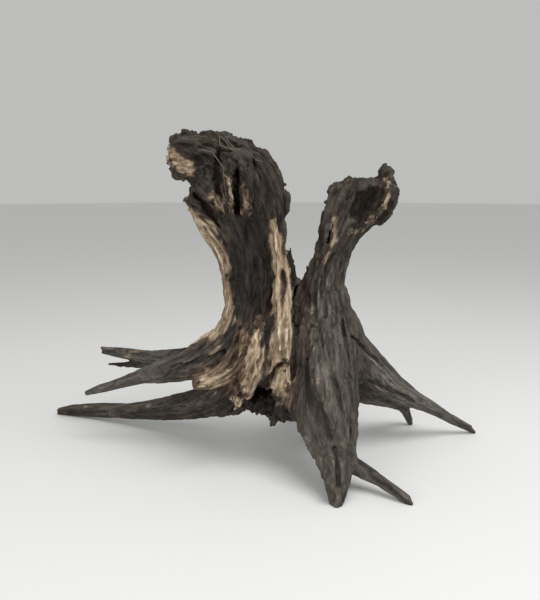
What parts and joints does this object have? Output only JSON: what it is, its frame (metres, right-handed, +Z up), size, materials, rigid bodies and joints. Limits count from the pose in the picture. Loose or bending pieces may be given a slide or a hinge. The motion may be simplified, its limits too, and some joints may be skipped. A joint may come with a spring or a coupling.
{
  "type": "dry root",
  "caption": "Weathered root stump with two broken stems and spreading tapered roots, standing free on its root tips.",
  "frame": {"origin": "middle of the stance, on the surface that the root tips stand on", "axes": "+X to the right along the spread of the roots, +Y to the back, +Z up; the front foot points to -Y"},
  "size_m": [0.6127, 0.3265, 0.4113],
  "materials": {
    "dry_wood": "matt, weathered, with bare pale patches"
  },
  "bodies": {
    "root": {"dry_root": "dry_wood"}
  },
  "joints": []
}
